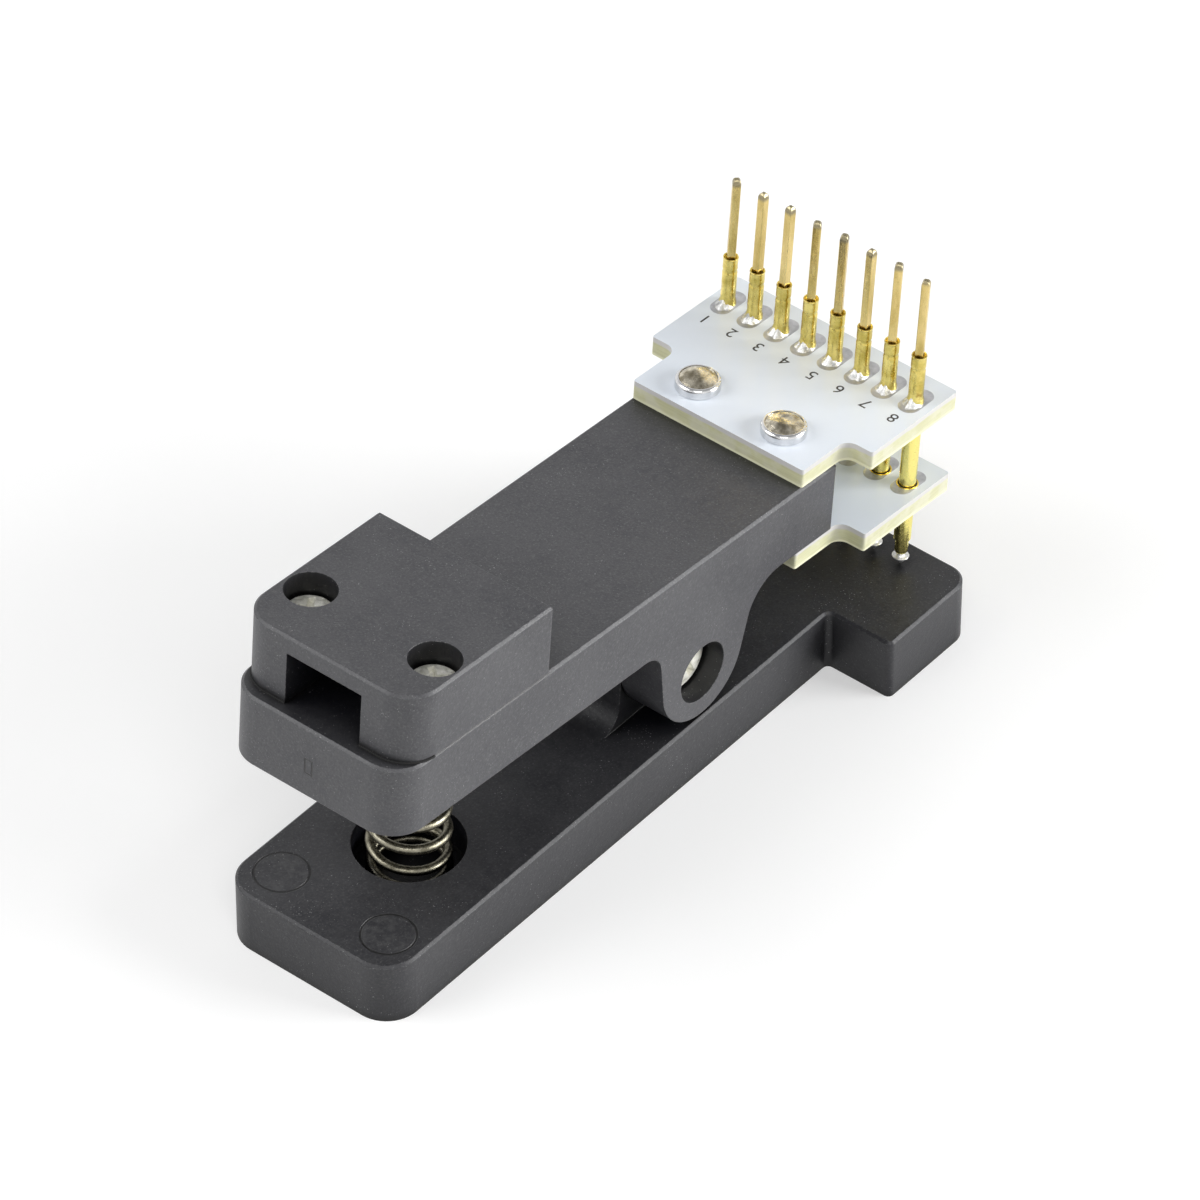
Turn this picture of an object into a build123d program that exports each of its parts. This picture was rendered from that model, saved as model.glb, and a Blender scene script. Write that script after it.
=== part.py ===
from build123d import *
from math import cos, pi, radians, sin, tan
import os

# Spring clip that presses a row of eight sprung contact pins on the pads of a circuit board.
# Sizes are in millimetres. X runs from the handle to the jaw, Y across and Z up.
# The origin is the centre of the underside of the base.
# The arm and all that it carries are drawn in the arm's own frame, with X from its handle end
# and Z from its underside, and are then turned about the pivot to the closed rest position.

# Base
BASE_LENGTH = 60.5
BODY_WIDTH = 16.2
BASE_THICKNESS = 5.4
BASE_CORNER_RADIUS = 2.8
HEAD_LENGTH = 10.0
HEAD_WIDTH = 28.0
HEAD_FAR_RADIUS = 1.9
HEAD_NEAR_RADIUS = 0.5
TOP_EDGE_BEVEL = 0.2

# Post that carries the pivot
PIVOT_FROM_JAW = 25.05
PIVOT_ABOVE_BASE = 4.5
POST_WIDTH = 8.0
POST_TOP_RADIUS = 4.4
POST_DRAFT_DEG = 4.6
POST_FOOT_RADIUS = 2.0

# Arm
REST_TILT_DEG = 4.785
ARM_SETBACK = 0.886
ARM_THICKNESS = 6.0
ARM_CORNER_RADIUS = 2.8
ARM_JAW_CORNER_RADIUS = 0.3
PIVOT_DROP = 4.95

# Ears of the arm, one on each side of the post
EAR_CLEARANCE = 0.15
EAR_LOBE_RADIUS = 4.62
EAR_LOBE_RISE = 0.65
EAR_HANDLE_FLARE_DEG = 9.0
EAR_JAW_FLARE_DEG = 14.0
EAR_HANDLE_FILLET = 2.0
EAR_JAW_FILLET = 3.6
EAR_FLOOR = 0.6

# Pivot screw and nut
PIVOT_SCREW_RADIUS = 1.25
PIVOT_CLEARANCE = 0.05
PIVOT_HEAD_RADIUS = 2.15
PIVOT_HEAD_HEIGHT = 1.4
PIVOT_HEAD_BEVEL = 0.6
PIVOT_WELL_RADIUS = 2.5
NUT_ACROSS_FLATS = 5.0
NUT_THICKNESS = 2.0
NUT_POCKET_CLEARANCE = 0.05
SCREW_PAST_NUT = 0.3

# Main spring and the pockets that hold it
SPRING_FROM_HANDLE = 11.65
SPRING_RADIUS = 3.0
SPRING_WIRE_RADIUS = 0.3
SPRING_TURNS = 8
SPRING_STEPS = 14
POCKET_RADIUS = 4.25
BASE_POCKET_DEPTH = 3.0
ARM_POCKET_DEPTH = 2.0

# Cover over the cable at the handle end
COVER_SETBACK = 1.1
COVER_LENGTH = 15.5
COVER_HEIGHT = 6.0
COVER_CORNER_RADIUS = 2.8
COVER_BACK_RADIUS = 0.2
CHANNEL_WIDTH = 6.9
CHANNEL_HEIGHT = 4.5
COVER_SCREW_FROM_FRONT = 5.2
COVER_SCREW_SPACING = 11.5
WELL_RADIUS = 2.0
WELL_DEPTH = 3.4

# Small round pieces are flat sided, with this many sides
SMALL_SIDES = 12

# Small screws
SCREW_RADIUS = 1.0
SCREW_HEAD_RADIUS = 1.75
SCREW_HEAD_HEIGHT = 1.4
SCREW_HEAD_RIM = 0.55
SCREW_HEAD_TOP_RADIUS = 0.9
SCREW_TIP = 0.7
SCREW_FIT = 0.01
COVER_SCREW_LENGTH = 6.0
BOARD_SCREW_LENGTH = 4.2
HOLE_PAST_SCREW = 0.2

# Circuit boards above and below the arm
BOARD_THICKNESS = 1.6
BOARD_NARROW_WIDTH = 16.0
BOARD_NARROW_LENGTH = 5.2
BOARD_WIDTH = 20.8
BOARD_BEFORE_PINS = 7.1
BOARD_PAST_PINS = 3.2
BOARD_NOTCH_RADIUS = 1.0
BOARD_CORNER_RADIUS = 0.2
BOARD_ON_ARM = 4.2
BOARD_SCREW_FROM_ARM_END = 1.5
BOARD_SCREW_SPACING = 8.1

# Row of contact pins
PIN_COUNT = 8
PIN_PITCH = 2.54
PIN_FROM_HEAD_EDGE = 2.34
TIP_GAP = 0.05
PIN_FIT = 0.01

# Receptacle, a stepped tube with a square wire post in its upper end
RECEPTACLE_RADIUS = 0.66
RECEPTACLE_NECK_RADIUS = 0.58
RECEPTACLE_BODY_LENGTH = 13.1
RECEPTACLE_TAPER = 0.3
RECEPTACLE_LENGTH = 17.15
RECEPTACLE_BORE = 0.54
NECK_BORE = 0.47
POST_ROOT_RADIUS = 0.46
POST_SIDE = 0.64
POST_ABOVE_RIM = 7.15
POST_TIP = 0.35
POST_TIP_SIDE = 0.3

# Probe, a barrel with a sprung plunger
BARREL_RADIUS = 0.51
BARREL_BORE = 0.37
BARREL_LENGTH = 13.35
BARREL_LIP_BORE = 0.33
BARREL_LIP = 0.3
BARREL_CAP = 0.3
BARREL_SHOWING = 1.25
REST_GAP = 0.35
TRAVEL = 2.65
TRAVEL_SPARE = 0.1
PLUNGER_HEAD_RADIUS = 0.66
PLUNGER_CONE_DEG = 90.0
PLUNGER_RIM = 0.06
PLUNGER_NECK_RADIUS = 0.3
PLUNGER_BODY_RADIUS = 0.34
PLUNGER_BODY_LENGTH = 5.0
PROBE_SPRING_BORE = 0.2

# Places that follow from the sizes above
TILT = radians(REST_TILT_DEG)
PIVOT_X = BASE_LENGTH / 2 - PIVOT_FROM_JAW
PIVOT_Z = BASE_THICKNESS + PIVOT_ABOVE_BASE
ARM_END_X = ARM_SETBACK - BASE_LENGTH / 2
PIVOT_ALONG_ARM = (PIVOT_X - ARM_END_X + PIVOT_DROP * sin(TILT)) / cos(TILT)
SPRING_X = SPRING_FROM_HANDLE - BASE_LENGTH / 2
EAR_INNER = POST_WIDTH / 2 + EAR_CLEARANCE
EAR_OUTER = BODY_WIDTH / 2
EAR_THICKNESS = EAR_OUTER - EAR_INNER
SEAT_Y = EAR_INNER + EAR_FLOOR


def along_arm(x, z):
    """Distance from the arm's handle end of the point of the clip at x and z."""
    return PIVOT_ALONG_ARM + (x - PIVOT_X) * cos(TILT) - (z - PIVOT_Z) * sin(TILT)


def above_arm(x, z):
    """Height over the arm's underside of the point of the clip at x and z."""
    return -PIVOT_DROP + (x - PIVOT_X) * sin(TILT) + (z - PIVOT_Z) * cos(TILT)


def clip_z(along, above):
    """Height in the clip of a point given in the arm's own frame."""
    return PIVOT_Z - (along - PIVOT_ALONG_ARM) * sin(TILT) + (above + PIVOT_DROP) * cos(TILT)


TIP_X = BASE_LENGTH / 2 - PIN_FROM_HEAD_EDGE
TIP_Z = BASE_THICKNESS + TIP_GAP
PIN_ALONG = along_arm(TIP_X, TIP_Z)
BOARD_START = PIN_ALONG - BOARD_BEFORE_PINS - BOARD_NARROW_LENGTH
ARM_LENGTH = BOARD_START + BOARD_ON_ARM
BOARD_SCREW_ALONG = ARM_LENGTH - BOARD_SCREW_FROM_ARM_END

# Heights on a probe and its receptacle, above the arm's underside
TIP = above_arm(TIP_X, TIP_Z)
HEAD_PLANE = TIP + PLUNGER_HEAD_RADIUS / tan(radians(PLUNGER_CONE_DEG / 2))
HEAD_TOP = HEAD_PLANE + PLUNGER_RIM
BARREL_END = HEAD_TOP + REST_GAP
BARREL_TOP = BARREL_END + BARREL_LENGTH
NECK_TOP = BARREL_END + BARREL_LIP + TRAVEL + TRAVEL_SPARE
PLUNGER_TOP = NECK_TOP + PLUNGER_BODY_LENGTH
RECEPTACLE_END = BARREL_END + BARREL_SHOWING
RECEPTACLE_RIM = RECEPTACLE_END + RECEPTACLE_LENGTH

SPRING_ALONG = along_arm(SPRING_X, clip_z(SPRING_FROM_HANDLE - ARM_SETBACK, ARM_POCKET_DEPTH))
SPRING_FLOOR = BASE_THICKNESS - BASE_POCKET_DEPTH
SPRING_TOP = clip_z(SPRING_ALONG + SPRING_RADIUS, ARM_POCKET_DEPTH)

PIVOT_PLACE = Pos(PIVOT_X, 0, PIVOT_Z)
ARM_PLACE = PIVOT_PLACE * Rot(0, REST_TILT_DEG, 0) * Pos(-PIVOT_ALONG_ARM, 0, PIVOT_DROP)
COVER_SCREW_PLACES = [
    Pos(COVER_SETBACK + COVER_SCREW_FROM_FRONT, side * COVER_SCREW_SPACING / 2, 0) for side in (-1, 1)
]
BOARD_SCREW_PLACES = [Pos(BOARD_SCREW_ALONG, side * BOARD_SCREW_SPACING / 2, 0) for side in (-1, 1)]
PIN_PLACES = [
    Pos(PIN_ALONG, ((PIN_COUNT - 1) / 2 - number) * PIN_PITCH, 0) for number in range(PIN_COUNT)
]


def rounded_outline(corners):
    """Flat face with round corners, from x, y and radius of each corner."""
    points = [(x, y) for x, y, radius in corners]
    radii = [radius for x, y, radius in corners]
    return make_face(FilletPolyline(*points, radius=radii, close=True))


def mirrored(half):
    """All corners of an outline that is the same on both sides of the X axis."""
    return half + [(x, -y, radius) for x, y, radius in reversed(half)]


def plate(outline, bottom, thickness):
    """Plate that lies flat on the height bottom."""
    return Pos(0, 0, bottom) * extrude(outline, thickness)


def bevelled_top(solid, width):
    """Solid with a narrow bevel round its top face."""
    return chamfer(solid.faces().sort_by(Axis.Z)[-1].edges(), width)


def rod(radius, bottom, top):
    """Upright cylinder between two heights."""
    return Pos(0, 0, bottom) * extrude(Circle(radius), top - bottom)


def shaft(radius, bottom, top):
    """Small flat-sided shaft or hole, with its corners on the radius."""
    return plate(RegularPolygon(radius, SMALL_SIDES), bottom, top - bottom)


def turned(*profile):
    """Small round piece with flat sides, from the corners of its closed half section, each a
    radius and a height, in order round the section."""
    faces = []
    for (radius, height), (next_radius, next_height) in zip(profile, profile[1:] + profile[:1]):
        if radius == next_radius == 0:
            continue
        for side in range(SMALL_SIDES):
            angles = (2 * pi * side / SMALL_SIDES, 2 * pi * (side + 1) / SMALL_SIDES)
            near = [(radius * cos(angle), radius * sin(angle), height) for angle in angles]
            far = [(next_radius * cos(angle), next_radius * sin(angle), next_height) for angle in angles]
            faces.append(Face(Wire.make_polygon(dict.fromkeys(near + far[::-1]))))
    return Solid(Shell(faces))


def lug_face(radius, reach, flares_deg, root_radii, bar_half, bar_depth):
    """Lug profile: a round end about the origin, straight sides tangent to it that spread
    towards a bar whose face is at -reach, and a fillet where each side meets the bar."""
    left, right = (radians(flare) for flare in flares_deg)
    left_root = radius * cos(left) + (reach + radius * sin(left)) * tan(left)
    right_root = radius * cos(right) + (reach + radius * sin(right)) * tan(right)
    left_touch = (-radius * cos(left), radius * sin(left))
    right_touch = (radius * cos(right), radius * sin(right))
    side = FilletPolyline((-bar_half, -reach), (-left_root, -reach), left_touch, radius=root_radii[0])
    tip = ThreePointArc(left_touch, (0, radius), right_touch)
    other = FilletPolyline(right_touch, (right_root, -reach), (bar_half, -reach), radius=root_radii[1])
    back = Polyline(
        (bar_half, -reach),
        (bar_half, -reach - bar_depth),
        (-bar_half, -reach - bar_depth),
        (-bar_half, -reach),
    )
    return make_face(side + tip + other + back)


def small_screw(length):
    """Self-tapping pan head screw that points down, with the underside of its head at height 0."""
    return turned(
        (0, -length),
        (SCREW_RADIUS - SCREW_TIP / 2, -length),
        (SCREW_RADIUS, SCREW_TIP - length),
        (SCREW_RADIUS, 0),
        (SCREW_HEAD_RADIUS, 0),
        (SCREW_HEAD_RADIUS, SCREW_HEAD_RIM),
        (SCREW_HEAD_TOP_RADIUS, SCREW_HEAD_HEIGHT),
        (0, SCREW_HEAD_HEIGHT),
    )


# Pieces of the base

def base_plate():
    """Base with a wide jaw head, the spring pocket and the pivot post."""
    end = BASE_LENGTH / 2
    neck = end - HEAD_LENGTH
    outline = rounded_outline(mirrored([
        (-end, BODY_WIDTH / 2, BASE_CORNER_RADIUS),
        (neck, BODY_WIDTH / 2, HEAD_NEAR_RADIUS),
        (neck, HEAD_WIDTH / 2, HEAD_NEAR_RADIUS),
        (end, HEAD_WIDTH / 2, HEAD_FAR_RADIUS),
    ]))
    base = bevelled_top(plate(outline, 0, BASE_THICKNESS), TOP_EDGE_BEVEL)
    base -= Pos(SPRING_X, 0, 0) * rod(POCKET_RADIUS, SPRING_FLOOR, BASE_THICKNESS)
    return base + pivot_post()


def pivot_post():
    """Post with a round top, a flared foot and the bore that turns on the pivot screw."""
    face = lug_face(
        POST_TOP_RADIUS, PIVOT_ABOVE_BASE, (POST_DRAFT_DEG, POST_DRAFT_DEG), (POST_FOOT_RADIUS, POST_FOOT_RADIUS),
        POST_TOP_RADIUS + 2 * POST_FOOT_RADIUS, BASE_THICKNESS / 2,
    )
    upright = Plane(origin=(PIVOT_X, 0, PIVOT_Z), x_dir=(1, 0, 0), z_dir=(0, -1, 0))
    bore = Circle(PIVOT_SCREW_RADIUS + PIVOT_CLEARANCE)
    return extrude(upright * (face - bore), POST_WIDTH / 2, both=True)


def main_spring():
    """Coil spring with ground ends, pressed between the two pockets. Its wire is six-sided and
    turns in short straight steps."""
    height = SPRING_TOP - SPRING_FLOOR
    coil_radius = SPRING_RADIUS - SPRING_WIRE_RADIUS
    steps = SPRING_TURNS * SPRING_STEPS
    path = Polyline([
        (
            coil_radius * cos(2 * pi * step / SPRING_STEPS),
            coil_radius * sin(2 * pi * step / SPRING_STEPS),
            height * step / steps,
        )
        for step in range(steps + 1)
    ])
    wire = Plane(origin=path @ 0, z_dir=path % 0) * RegularPolygon(SPRING_WIRE_RADIUS, 6)
    coil = sweep(wire, path, transition=Transition.RIGHT)
    ground = coil & rod(SPRING_RADIUS + SPRING_WIRE_RADIUS, 0, height)
    return Pos(SPRING_X, 0, SPRING_FLOOR) * ground


# Pieces of the arm, in the arm's own frame

def lever_arm():
    """Flat lever with two ears, the spring pocket below and the screw holes."""
    outline = rounded_outline(mirrored([
        (0, BODY_WIDTH / 2, ARM_CORNER_RADIUS),
        (ARM_LENGTH, BODY_WIDTH / 2, ARM_JAW_CORNER_RADIUS),
    ]))
    arm = bevelled_top(plate(outline, 0, ARM_THICKNESS), TOP_EDGE_BEVEL)
    arm += ears()
    arm -= Pos(SPRING_ALONG, 0, 0) * rod(POCKET_RADIUS, 0, ARM_POCKET_DEPTH)
    arm -= head_well(-1) + nut_pocket()
    arm -= Pos(PIVOT_ALONG_ARM, 0, -PIVOT_DROP) * Rot(90, 0, 0) * rod(
        PIVOT_SCREW_RADIUS + SCREW_FIT, -EAR_OUTER, EAR_OUTER
    )
    for place in COVER_SCREW_PLACES:
        end = ARM_THICKNESS + COVER_HEIGHT - WELL_DEPTH - COVER_SCREW_LENGTH - HOLE_PAST_SCREW
        arm -= place * shaft(SCREW_RADIUS + SCREW_FIT, end, ARM_THICKNESS)
    depth = BOARD_SCREW_LENGTH - BOARD_THICKNESS + HOLE_PAST_SCREW
    for place in BOARD_SCREW_PLACES:
        for bottom in (0, ARM_THICKNESS - depth):
            arm -= place * shaft(SCREW_RADIUS + SCREW_FIT, bottom, bottom + depth)
    return arm


def ears():
    """Two lugs that hang from the arm's sides and take the pivot screw."""
    face = lug_face(
        EAR_LOBE_RADIUS, PIVOT_DROP - EAR_LOBE_RISE, (EAR_HANDLE_FLARE_DEG, EAR_JAW_FLARE_DEG),
        (EAR_HANDLE_FILLET, EAR_JAW_FILLET),
        EAR_LOBE_RADIUS + EAR_JAW_FILLET + EAR_HANDLE_FILLET, ARM_THICKNESS / 2,
    )
    pair = []
    for inner in (EAR_INNER, -EAR_OUTER):
        hanging = Plane(
            origin=(PIVOT_ALONG_ARM, inner, EAR_LOBE_RISE - PIVOT_DROP), x_dir=(1, 0, 0), z_dir=(0, 1, 0)
        )
        pair.append(extrude(hanging * face, EAR_THICKNESS))
    return pair[0] + pair[1]


def head_well(side):
    """Round well in one ear for the head of the pivot screw."""
    well = rod(PIVOT_WELL_RADIUS, SEAT_Y, EAR_OUTER)
    return Pos(PIVOT_ALONG_ARM, 0, -PIVOT_DROP) * Rot(-90 * side, 0, 0) * well


def nut_pocket():
    """Six-sided pocket in the far ear for the nut."""
    across = NUT_ACROSS_FLATS + 2 * NUT_POCKET_CLEARANCE
    hexagon = RegularPolygon(across / 2, 6, major_radius=False)
    pocket = plate(hexagon, SEAT_Y, EAR_OUTER - SEAT_Y)
    return Pos(PIVOT_ALONG_ARM, 0, -PIVOT_DROP) * Rot(-90, 0, 0) * pocket


def pivot_screw():
    """Machine screw through both ears and the post, with its head in the near ear."""
    length = 2 * SEAT_Y + NUT_THICKNESS + SCREW_PAST_NUT
    head = rod(PIVOT_HEAD_RADIUS, 0, PIVOT_HEAD_HEIGHT)
    head = chamfer(head.faces().sort_by(Axis.Z)[-1].edges(), PIVOT_HEAD_BEVEL)
    screw = head + rod(PIVOT_SCREW_RADIUS, -length, 0)
    return Pos(PIVOT_ALONG_ARM, -SEAT_Y, -PIVOT_DROP) * Rot(90, 0, 0) * screw


def pivot_nut():
    """Nut that holds the pivot screw in the far ear."""
    hexagon = RegularPolygon(NUT_ACROSS_FLATS / 2, 6, major_radius=False)
    nut = plate(hexagon - Circle(PIVOT_SCREW_RADIUS + SCREW_FIT), SEAT_Y, NUT_THICKNESS)
    return Pos(PIVOT_ALONG_ARM, 0, -PIVOT_DROP) * Rot(-90, 0, 0) * nut


def cable_cover():
    """Block over the handle end with a channel for the cable and two wells for its screws."""
    outline = rounded_outline(mirrored([
        (COVER_SETBACK, BODY_WIDTH / 2, COVER_CORNER_RADIUS),
        (COVER_SETBACK + COVER_LENGTH, BODY_WIDTH / 2, COVER_BACK_RADIUS),
    ]))
    top = ARM_THICKNESS + COVER_HEIGHT
    cover = bevelled_top(plate(outline, ARM_THICKNESS, COVER_HEIGHT), TOP_EDGE_BEVEL)
    channel = Rectangle(COVER_LENGTH, CHANNEL_WIDTH)
    cover -= Pos(COVER_SETBACK + COVER_LENGTH / 2, 0, ARM_THICKNESS) * extrude(channel, CHANNEL_HEIGHT)
    for place in COVER_SCREW_PLACES:
        cover -= place * rod(WELL_RADIUS, top - WELL_DEPTH, top)
        cover -= place * shaft(SCREW_RADIUS + SCREW_FIT, ARM_THICKNESS, top)
    return cover


def cover_screws():
    """Two screws that hold the cover on the arm."""
    seat = ARM_THICKNESS + COVER_HEIGHT - WELL_DEPTH
    return [place * Pos(0, 0, seat) * small_screw(COVER_SCREW_LENGTH) for place in COVER_SCREW_PLACES]


def board(bottom):
    """Circuit board with a narrow end for its screws and a wide end with the row of pin holes."""
    neck = BOARD_START + BOARD_NARROW_LENGTH
    outline = rounded_outline(mirrored([
        (BOARD_START, BOARD_NARROW_WIDTH / 2, BOARD_CORNER_RADIUS),
        (neck, BOARD_NARROW_WIDTH / 2, BOARD_NOTCH_RADIUS),
        (neck, BOARD_WIDTH / 2, BOARD_CORNER_RADIUS),
        (PIN_ALONG + BOARD_PAST_PINS, BOARD_WIDTH / 2, BOARD_CORNER_RADIUS),
    ]))
    for place in BOARD_SCREW_PLACES:
        outline -= place * RegularPolygon(SCREW_RADIUS + SCREW_FIT, SMALL_SIDES)
    for place in PIN_PLACES:
        outline -= place * RegularPolygon(RECEPTACLE_RADIUS + PIN_FIT, SMALL_SIDES)
    return plate(outline, bottom, BOARD_THICKNESS)


def top_board_screws():
    """Two screws that hold the upper board on the arm."""
    seat = ARM_THICKNESS + BOARD_THICKNESS
    return [place * Pos(0, 0, seat) * small_screw(BOARD_SCREW_LENGTH) for place in BOARD_SCREW_PLACES]


def lower_board_screws():
    """Two screws that hold the lower board under the arm."""
    upward = Pos(0, 0, -BOARD_THICKNESS) * Rot(180, 0, 0)
    return [place * upward * small_screw(BOARD_SCREW_LENGTH) for place in BOARD_SCREW_PLACES]


# Pieces of one contact pin

def receptacle():
    """Stepped tube that the probe pushes into from below, up to a step in its bore."""
    taper = RECEPTACLE_END + RECEPTACLE_BODY_LENGTH
    return turned(
        (RECEPTACLE_BORE, RECEPTACLE_END),
        (RECEPTACLE_RADIUS, RECEPTACLE_END),
        (RECEPTACLE_RADIUS, taper),
        (RECEPTACLE_NECK_RADIUS, taper + RECEPTACLE_TAPER),
        (RECEPTACLE_NECK_RADIUS, RECEPTACLE_RIM),
        (NECK_BORE, RECEPTACLE_RIM),
        (NECK_BORE, BARREL_TOP),
        (RECEPTACLE_BORE, BARREL_TOP),
    )


def wire_post():
    """Square post with a blunt point and a round root that stands in the receptacle's neck."""
    square = plate(Rectangle(POST_SIDE, POST_SIDE), RECEPTACLE_RIM, POST_ABOVE_RIM)
    top = square.faces().sort_by(Axis.Z)[-1]
    pointed = chamfer(top.edges(), (POST_SIDE - POST_TIP_SIDE) / 2, POST_TIP, reference=top)
    return shaft(POST_ROOT_RADIUS, BARREL_TOP, RECEPTACLE_RIM) + pointed


def probe_barrel():
    """Barrel that is closed above and rolled in below to keep the plunger."""
    return turned(
        (BARREL_LIP_BORE, BARREL_END),
        (BARREL_RADIUS, BARREL_END),
        (BARREL_RADIUS, BARREL_TOP),
        (0, BARREL_TOP),
        (0, BARREL_TOP - BARREL_CAP),
        (BARREL_BORE, BARREL_TOP - BARREL_CAP),
        (BARREL_BORE, BARREL_END + BARREL_LIP),
        (BARREL_LIP_BORE, BARREL_END + BARREL_LIP),
    )


def probe_spring():
    """Sleeve the size of the fine coil that pushes the plunger out."""
    return turned(
        (PROBE_SPRING_BORE, PLUNGER_TOP),
        (PLUNGER_BODY_RADIUS, PLUNGER_TOP),
        (PLUNGER_BODY_RADIUS, BARREL_TOP - BARREL_CAP),
        (PROBE_SPRING_BORE, BARREL_TOP - BARREL_CAP),
    )


def plunger():
    """Plunger with a cone point under a wide head, a neck and a guided body."""
    return turned(
        (0, TIP),
        (PLUNGER_HEAD_RADIUS, HEAD_PLANE),
        (PLUNGER_HEAD_RADIUS, HEAD_TOP),
        (PLUNGER_NECK_RADIUS, HEAD_TOP),
        (PLUNGER_NECK_RADIUS, NECK_TOP),
        (PLUNGER_BODY_RADIUS, NECK_TOP),
        (PLUNGER_BODY_RADIUS, PLUNGER_TOP),
        (0, PLUNGER_TOP),
    )


def row(piece):
    """One copy of a piece at each place of the pin row."""
    return [place * piece for place in PIN_PLACES]


def on_arm(shapes):
    """Pieces drawn in the arm's own frame, moved to the arm's rest position."""
    return [ARM_PLACE * shape for shape in shapes]


def write(name, shapes):
    """One STEP file for a node, as a single solid or as a group of equal ones."""
    solids = [solid for shape in shapes for solid in shape.solids()]
    export_step(solids[0] if len(solids) == 1 else Compound(children=solids), f"parts/{name}.step")


os.makedirs("parts", exist_ok=True)
write("base_plate", [base_plate()])
write("main_spring", [main_spring()])
write("lever_arm", on_arm([lever_arm()]))
write("cable_cover", on_arm([cable_cover()]))
write("cover_screws", on_arm(cover_screws()))
write("pivot_screw", on_arm([pivot_screw()]))
write("pivot_nut", on_arm([pivot_nut()]))
write("top_board", on_arm([board(ARM_THICKNESS)]))
write("lower_board", on_arm([board(-BOARD_THICKNESS)]))
write("top_board_screws", on_arm(top_board_screws()))
write("lower_board_screws", on_arm(lower_board_screws()))
write("receptacles", on_arm(row(receptacle())))
write("wire_posts", on_arm(row(wire_post())))
write("probe_barrels", on_arm(row(probe_barrel())))
write("probe_springs", on_arm(row(probe_spring())))
for number, place in enumerate(PIN_PLACES, start=1):
    write(f"plunger_{number}", on_arm([place * plunger()]))
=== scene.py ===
import math

import bpy
import numpy as np
from mathutils import Matrix, Vector


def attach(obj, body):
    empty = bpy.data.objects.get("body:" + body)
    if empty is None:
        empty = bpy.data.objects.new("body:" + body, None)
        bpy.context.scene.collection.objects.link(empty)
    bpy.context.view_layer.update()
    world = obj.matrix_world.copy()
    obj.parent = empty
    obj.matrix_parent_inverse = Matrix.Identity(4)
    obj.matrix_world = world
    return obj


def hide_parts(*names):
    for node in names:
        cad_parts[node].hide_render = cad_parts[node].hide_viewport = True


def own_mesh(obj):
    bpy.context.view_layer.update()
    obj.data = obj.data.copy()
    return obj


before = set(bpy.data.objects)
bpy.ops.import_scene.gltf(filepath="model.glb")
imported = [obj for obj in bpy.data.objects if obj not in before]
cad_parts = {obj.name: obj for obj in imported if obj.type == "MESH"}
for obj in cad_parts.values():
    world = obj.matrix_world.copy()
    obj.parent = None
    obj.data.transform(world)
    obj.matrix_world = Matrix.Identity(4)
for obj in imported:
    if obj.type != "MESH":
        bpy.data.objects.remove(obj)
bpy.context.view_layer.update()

# Sizes in millimetres, as in the clip's solids. The mesh is in metres.
MM = 0.001
PIVOT = np.array([5.2, 0, 9.9])
PIVOT_ALONG = 35.1
PIVOT_DROP = 4.95
TILT = math.radians(4.785)
ARM_TOP = 6.0
BASE_TOP = 5.4

# Directions of the arm in the clip: along it from the handle to the jaw, across it and up from it
ALONG = np.array([math.cos(TILT), 0, -math.sin(TILT)])
ACROSS = np.array([0.0, 1.0, 0.0])
ABOVE = np.array([math.sin(TILT), 0, math.cos(TILT)])
ARM_ORIGIN = PIVOT - PIVOT_ALONG * ALONG + PIVOT_DROP * ABOVE

# Screws, with the seat of each head and how far a cross is turned
HEAD_RADIUS = 1.75
SHANK_RADIUS = 1.0
COVER_HEAD_HEIGHT = 1.75
COVER_SCREW_LENGTH = 6.0
COVER_SCREW_ALONG = 6.3
COVER_SCREW_ACROSS = 5.75
COVER_SCREW_TURNS = (0.60, 0.88)
COVER_SEAT = 8.6
BOARD_SCREW_LENGTH = 4.2
BOARD_SCREW_ALONG = 48.5
BOARD_SCREW_ACROSS = 4.05
PIVOT_HEAD_RADIUS = 2.15
PIVOT_HEAD_HEIGHT = 1.9
PIVOT_SHANK_RADIUS = 1.25
PIVOT_SCREW_LENGTH = 11.8
PIVOT_SCREW_TURN = 0.5
PIVOT_SEAT = 4.75
NUT_ACROSS_FLATS = 5.0
NUT_THICKNESS = 2.0

# Boards, each known by the height of its underside over the arm's
BOARD_THICKNESS = 1.6
TOP_BOARD = 6.0
LOWER_BOARD = -1.6

# Row of pins
PIN_ALONG = 58.10
PIN_PITCH = 2.54
PINS = range(1, 9)
TUBE_RADIUS = 0.66
NECK_RADIUS = 0.58
TUBE_BOTTOM = -5.17
NECK_START = 7.93
RIM = 11.98
POST_SIDE = 0.64
POST_TOP = 19.12
BARREL_RADIUS = 0.51
BARREL_BOTTOM = -6.42
TIP = -7.49
HEAD_EDGE = -6.83
HEAD_TOP = -6.77

# Marks of the mould: two round ejector marks in the base, and a small rectangle in the arm's end
# with its halves along, across and above
EJECTOR_RADIUS = 2.05
EJECTOR_MARKS = [(-26.85, 5.05, BASE_TOP), (-26.85, -5.05, BASE_TOP)]
END_MARK_ACROSS = 0.14
END_MARK_ABOVE = 2.62
END_MARK_HALVES = (0.5, 0.32, 0.62)

# How each post stands in its tube: turn about its own axis in degrees and how far it is down
POST_TURN = {1: 44, 2: -4, 3: -6, 4: 33, 5: 24, 6: 2, 7: 30, 8: 26}
POST_DOWN = {1: 0.0, 2: 0.05, 3: 0.0, 4: 0.1, 5: 0.0, 6: 0.1, 7: 0.05, 8: 0.3}

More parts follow.
